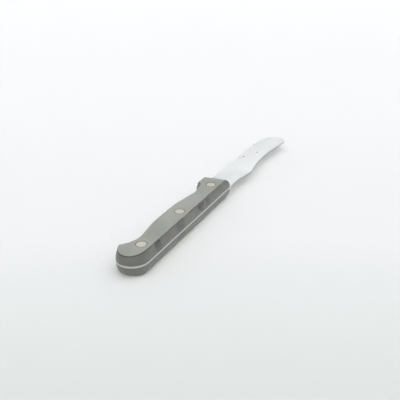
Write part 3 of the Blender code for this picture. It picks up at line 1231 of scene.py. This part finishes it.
@dataclass(frozen=True)
class CutlersRivet:
    """A rivet in two halves: a headed tube, and a headed pin that is pressed into it from underneath."""

    place: RivetPlace
    bench: Bench
    head_radius: float = 0.0030
    head_thickness: float = 0.0014
    head_round: float = 0.00012
    tube_radius: float = 0.0018
    bore_radius: float = 0.0012
    tube_end_gap: float = 0.0010
    pin_end_gap: float = 0.0015
    clearance: float = 0.0001
    bond_gap: float = 0.00005
    seat_chamfer: float = 0.00008
    overshoot: float = 0.0010
    segments: int = 96
    tarnished_width: float = 0.0005
    tarnished_wear: Range = (0.8, 0.15)  # the edge wear where the ground face begins, and that far in

    @property
    def head_seat(self) -> float:
        """How far from the middle plane the underside of a head lies."""
        return self.bench.half_handle - self.head_thickness

    @staticmethod
    def underneath(profile: Sequence[Triple]) -> list[Triple]:
        """The mirror image of a profile below the middle plane, from its other end."""
        return [(radius, -height, wear) for radius, height, wear in reversed(profile)]

    def turned(self, name: str, profile: Sequence[Triple]) -> Piece:
        """Turns a closed body round the rivet's axis.

        Args:
            name: The object's name.
            profile: The radius, height and edge wear of each ring, from one end to the other.

        Returns:
            The turned object.
        """
        centre = self.bench.rivet_centre(self.place)
        angles = [2 * math.pi * step / self.segments for step in range(self.segments)]
        loft = Loft()
        for radius, height, wear in profile:
            ring = [Vector((radius * math.cos(angle), radius * math.sin(angle), height)) for angle in angles]
            loft.add_ring([centre + spoke for spoke in ring], wear)
        loft.cap(0)
        loft.cap(-1)
        return loft.finish(name)

    def head(self) -> list[Triple]:
        """Draws a head, from its seat over the rounded rim to its ground face.

        Returns:
            The radius, height and edge wear of each ring.
        """
        top, rim, soft = self.bench.half_handle, self.head_radius, self.head_round
        slope = soft * (1 - math.sqrt(1 / 2))
        return [
            (rim, self.head_seat, 1.0),
            (rim, top - soft, 1.0),
            (rim - slope, top - slope, 1.0),
            (rim - soft, top, self.tarnished_wear[0]),
            (rim - self.tarnished_width, top, self.tarnished_wear[1]),
            (rim / 2, top, 0.0),
        ]

    def build_tube(self) -> Piece:
        """Turns the half with its head on top.

        Returns:
            The tube, with a bored shank.
        """
        mouth = self.tube_end_gap - self.head_seat
        shank = [
            (self.bore_radius, self.head_seat, 0.0),
            (self.bore_radius, mouth, 0.0),
            (self.tube_radius, mouth, 0.0),
            (self.tube_radius, self.head_seat, 0.0),
        ]
        return self.turned(f"{self.place.value}_rivet_tube", shank + self.head())

    def build_pin(self) -> Piece:
        """Turns the half with its head underneath.

        Returns:
            The pin, which is solid.
        """
        pin = self.bore_radius - self.clearance
        shank = [(pin, -self.head_seat, 0.0), (pin, self.head_seat - self.pin_end_gap, 0.0)]
        return self.turned(f"{self.place.value}_rivet_pin", self.underneath(self.head()) + shank)

    def build_drill(self) -> Piece:
        """Turns what is drilled for the rivet: a hole with a chamfered seat for a head at each end.

        Returns:
            The shape that is taken away.
        """
        hole = self.tube_radius + self.clearance
        seat = self.head_radius + self.clearance
        floor = self.head_seat - self.bond_gap
        top = self.bench.half_handle
        mouth = seat + self.seat_chamfer
        upper = [
            (hole, floor, 0.0),
            (seat, floor, 0.0),
            (seat, top - self.seat_chamfer, 0.0),
            (mouth, top, 0.0),
            (mouth, top + self.overshoot, 0.0),
        ]
        return self.turned(f"{self.place.value}_rivet_drill", self.underneath(upper) + upper)

    def dress(self, piece: Piece, half: RivetHalf, material: Material) -> Piece:
        """Gives a half of the rivet its ground finish."""
        return fit_out(piece, f"rivet_{half.value}_{self.place.value}", Slot.NICKEL_SILVER, material)


@dataclass(frozen=True)
class ButterKnife:
    """The whole knife: the steel, two scales, and three rivets in two halves each."""

    plan: KnifePlan
    bench: Bench

    def build(self) -> list[Piece]:
        """Builds and dresses every piece.

        Returns:
            The dressed pieces.
        """
        rivets = [CutlersRivet(place, self.bench) for place in RivetPlace]
        drills = [rivet.build_drill() for rivet in rivets]
        centres = tuple(tuple(self.bench.rivet_centre(place)) for place in RivetPlace)
        steel = SatinSteel().material()
        resin = HandleResin(rivet_centres=centres).material()
        nickel_silver = NickelSilver().material()

        blade = SteelBlade(self.plan, self.bench)
        pieces = [blade.dress(blade.build(drills), steel)]
        for side in Side:
            scale = HandleScale(side, self.plan, self.bench)
            pieces.append(scale.dress(scale.build(drills), resin))
        for rivet in rivets:
            pieces.append(rivet.dress(rivet.build_tube(), RivetHalf.TUBE, nickel_silver))
            pieces.append(rivet.dress(rivet.build_pin(), RivetHalf.PIN, nickel_silver))
        for drill in drills:
            bpy.data.objects.remove(drill)
        return pieces


# Table, light and camera


@dataclass(frozen=True)
class PaleTable:
    """The pale matt table top, a translucent sheet that is a little greyer towards the camera."""

    radius: float = 2.5
    drop: float = 0.00002
    segments: int = 96
    reach: float = 1.3
    bleed: float = 0.006  # how far the light spreads below the surface
    bleed_tint: Triple = (0.9, 0.9, 1.0)
    glow: Triple = (0.143, 0.140, 0.120)  # the share of its brightness that comes through it from below
    shades: tuple[tuple[float, Triple], ...] = (
        (0.128, (0.745, 0.780, 0.765)),
        (0.222, (0.880, 0.896, 0.905)),
        (0.390, (0.920, 0.938, 0.955)),
        (1.000, (0.980, 0.990, 1.000)),
    )

    def material(self, foot: Vector, heading: float) -> Material:
        """A matt surface whose colour changes with the distance from the camera's foot.

        Args:
            foot: The point of the table below the camera.
            heading: The direction in plan in which the shades follow each other.

        Returns:
            The table's material.
        """
        sketch = ShaderSketch("pale_table_top")
        ahead = (math.cos(heading) / self.reach, math.sin(heading) / self.reach, 0.0)
        offset = sketch.vector("SUBTRACT", sketch.position, foot)
        ramp = sketch.node("ShaderNodeValToRGB", {0: sketch.along(offset, ahead)})
        stops = ramp.color_ramp.elements
        for place, _ in self.shades[1:-1]:
            stops.new(place)
        for stop, (place, shade) in zip(stops, self.shades):
            stop.position = place
            stop.color = (*shade, 1.0)
        shade = ramp.outputs[0]
        inputs = {
            "Emission Color": sketch.vector("MULTIPLY", shade, self.glow),
            "Emission Strength": 1.0,
            "Subsurface Weight": 1.0,
            "Subsurface Radius": self.bleed_tint,
            "Subsurface Scale": self.bleed,
            "Specular IOR Level": 0.0,
        }
        sketch.shader.subsurface_method = "BURLEY"
        for name, value in inputs.items():
            sketch.feed(sketch.shader.inputs[name], value)
        matt = sketch.vector("MULTIPLY", shade, tuple(1 - share for share in self.glow))
        return sketch.surface(matt, roughness=1.0, metallic=0.0)

    def build(self, foot: Vector, heading: float) -> None:
        """Makes the round table top.

        Args:
            foot: The point of the table below the camera.
            heading: The direction in plan in which its shades follow each other.
        """
        shape = bmesh.new()
        bmesh.ops.create_circle(shape, cap_ends=True, radius=self.radius, segments=self.segments)
        table = to_object(shape, "table_top")
        table.location.z = -self.drop
        table.data.materials.append(self.material(foot, heading))


@dataclass(frozen=True)
class Studio:
    """The soft light of a bright room and the camera of the photograph."""

    bench: Bench
    camera_offset: Triple = (-0.2594, -0.1453, 0.1552)
    heading: float = math.radians(26.94)
    pitch: float = math.radians(26.445)
    focal_length: float = 51.3
    sensor_width: float = 36.0
    nearest: float = 0.01
    backdrop: Triple = (0.98, 0.99, 1.0)
    wall_light: float = 0.70
    ceiling_light: float = 0.90
    ceiling_edge: float = 0.6  # the sine of the height where the ceiling's light begins
    lean_light: float = 2.2
    lean_turn: float = 0.4  # the sine of the height where the brighter side changes over
    lean_bearing: float = math.radians(75.0)
    lean_tint: Triple = (1.03, 1.00, 0.75)
    reflections: Range = (0.6, 1.5)
    window_bearing: float = math.radians(30.0)
    window_height: float = math.radians(55.0)
    window_spread: Range = (0.6, 1.0)  # cosines, where the glow begins and where it is full

    def camera_place(self) -> Vector:
        """Finds where the camera stands.

        Returns:
            Its place, counted from the top of the middle rivet.
        """
        head = self.bench.rivet_centre(RivetPlace.MIDDLE)
        head.z = self.bench.middle + self.bench.half_handle
        return head + Vector(self.camera_offset)

    def build_camera(self) -> Piece:
        """Sets up the camera at the photograph's place and angle.

        Returns:
            The camera.
        """
        lens = bpy.data.cameras.new("photo_camera")
        lens.lens = self.focal_length
        lens.sensor_width = self.sensor_width
        lens.clip_start = self.nearest
        camera = placed(lens.name, lens)
        camera.location = self.camera_place()
        camera.rotation_euler = (math.pi / 2 - self.pitch, 0.0, self.heading - math.pi / 2)
        bpy.context.scene.camera = camera
        return camera

    def room_light(self, sketch: NodeSketch, way: Socket) -> Socket:
        """The light that falls on matt surfaces: even walls, a brighter ceiling, and a lean to one side.

        Args:
            sketch: The room's sketch.
            way: The direction that is looked in.

        Returns:
            The light's colour.
        """
        height = sketch.along(way, UPWARDS)
        ceiling = sketch.ranged(height, (self.ceiling_edge, 1.0), (0.0, self.ceiling_light), soft=True)
        side = sketch.along(way, (math.cos(self.lean_bearing), math.sin(self.lean_bearing), 0.0))
        turn = sketch.math("SUBTRACT", self.lean_turn, height)
        lean = sketch.joined("MULTIPLY", (side, turn, self.lean_light))
        even_light = sketch.math("ADD", ceiling, self.wall_light)
        light = sketch.vector("ADD", sketch.scaled(self.lean_tint, lean), even_light)
        return sketch.vector("MAXIMUM", light, even(0.0))

    def build_air(self) -> None:
        """Fills the room with soft light, and lets gloss reflect a bright window wall behind the knife."""
        world = bpy.data.worlds.new("bright_room")
        world.use_nodes = True
        bpy.context.scene.world = world
        sketch = NodeSketch(world.node_tree)
        sketch.tree.nodes.clear()
        way = sketch.node("ShaderNodeTexCoord").outputs["Generated"]
        level = math.cos(self.window_height)
        window = (
            level * math.cos(self.window_bearing),
            level * math.sin(self.window_bearing),
            math.sin(self.window_height),
        )
        mirrored = sketch.ranged(sketch.along(way, window), self.window_spread, self.reflections, soft=True)
        path = sketch.node("ShaderNodeLightPath").outputs
        lit = sketch.mixed(path["Is Glossy Ray"], self.room_light(sketch, way), mirrored)
        seen = sketch.mixed(path["Is Camera Ray"], lit, self.backdrop)
        air = sketch.node("ShaderNodeBackground", {"Color": seen})
        sketch.node("ShaderNodeOutputWorld", {"Surface": air.outputs[0]})

    def build(self) -> None:
        """Sets the whole studio up."""
        bpy.context.scene.view_settings.view_transform = "Standard"
        camera = self.build_camera()
        PaleTable().build(Vector((*camera.location.xy, 0.0)), self.heading)
        self.build_air()


def main() -> None:
    """Builds the knife and the studio, and reports each piece."""
    logging.basicConfig(level=logging.INFO, format="%(name)s: %(message)s")
    bench = Bench.from_frame()
    for piece in ButterKnife(KnifePlan(), bench).build():
        LOG.info("%s has %d faces", piece.name, len(piece.data.polygons))
    Studio(bench).build()


if __name__ == "__main__":
    main()
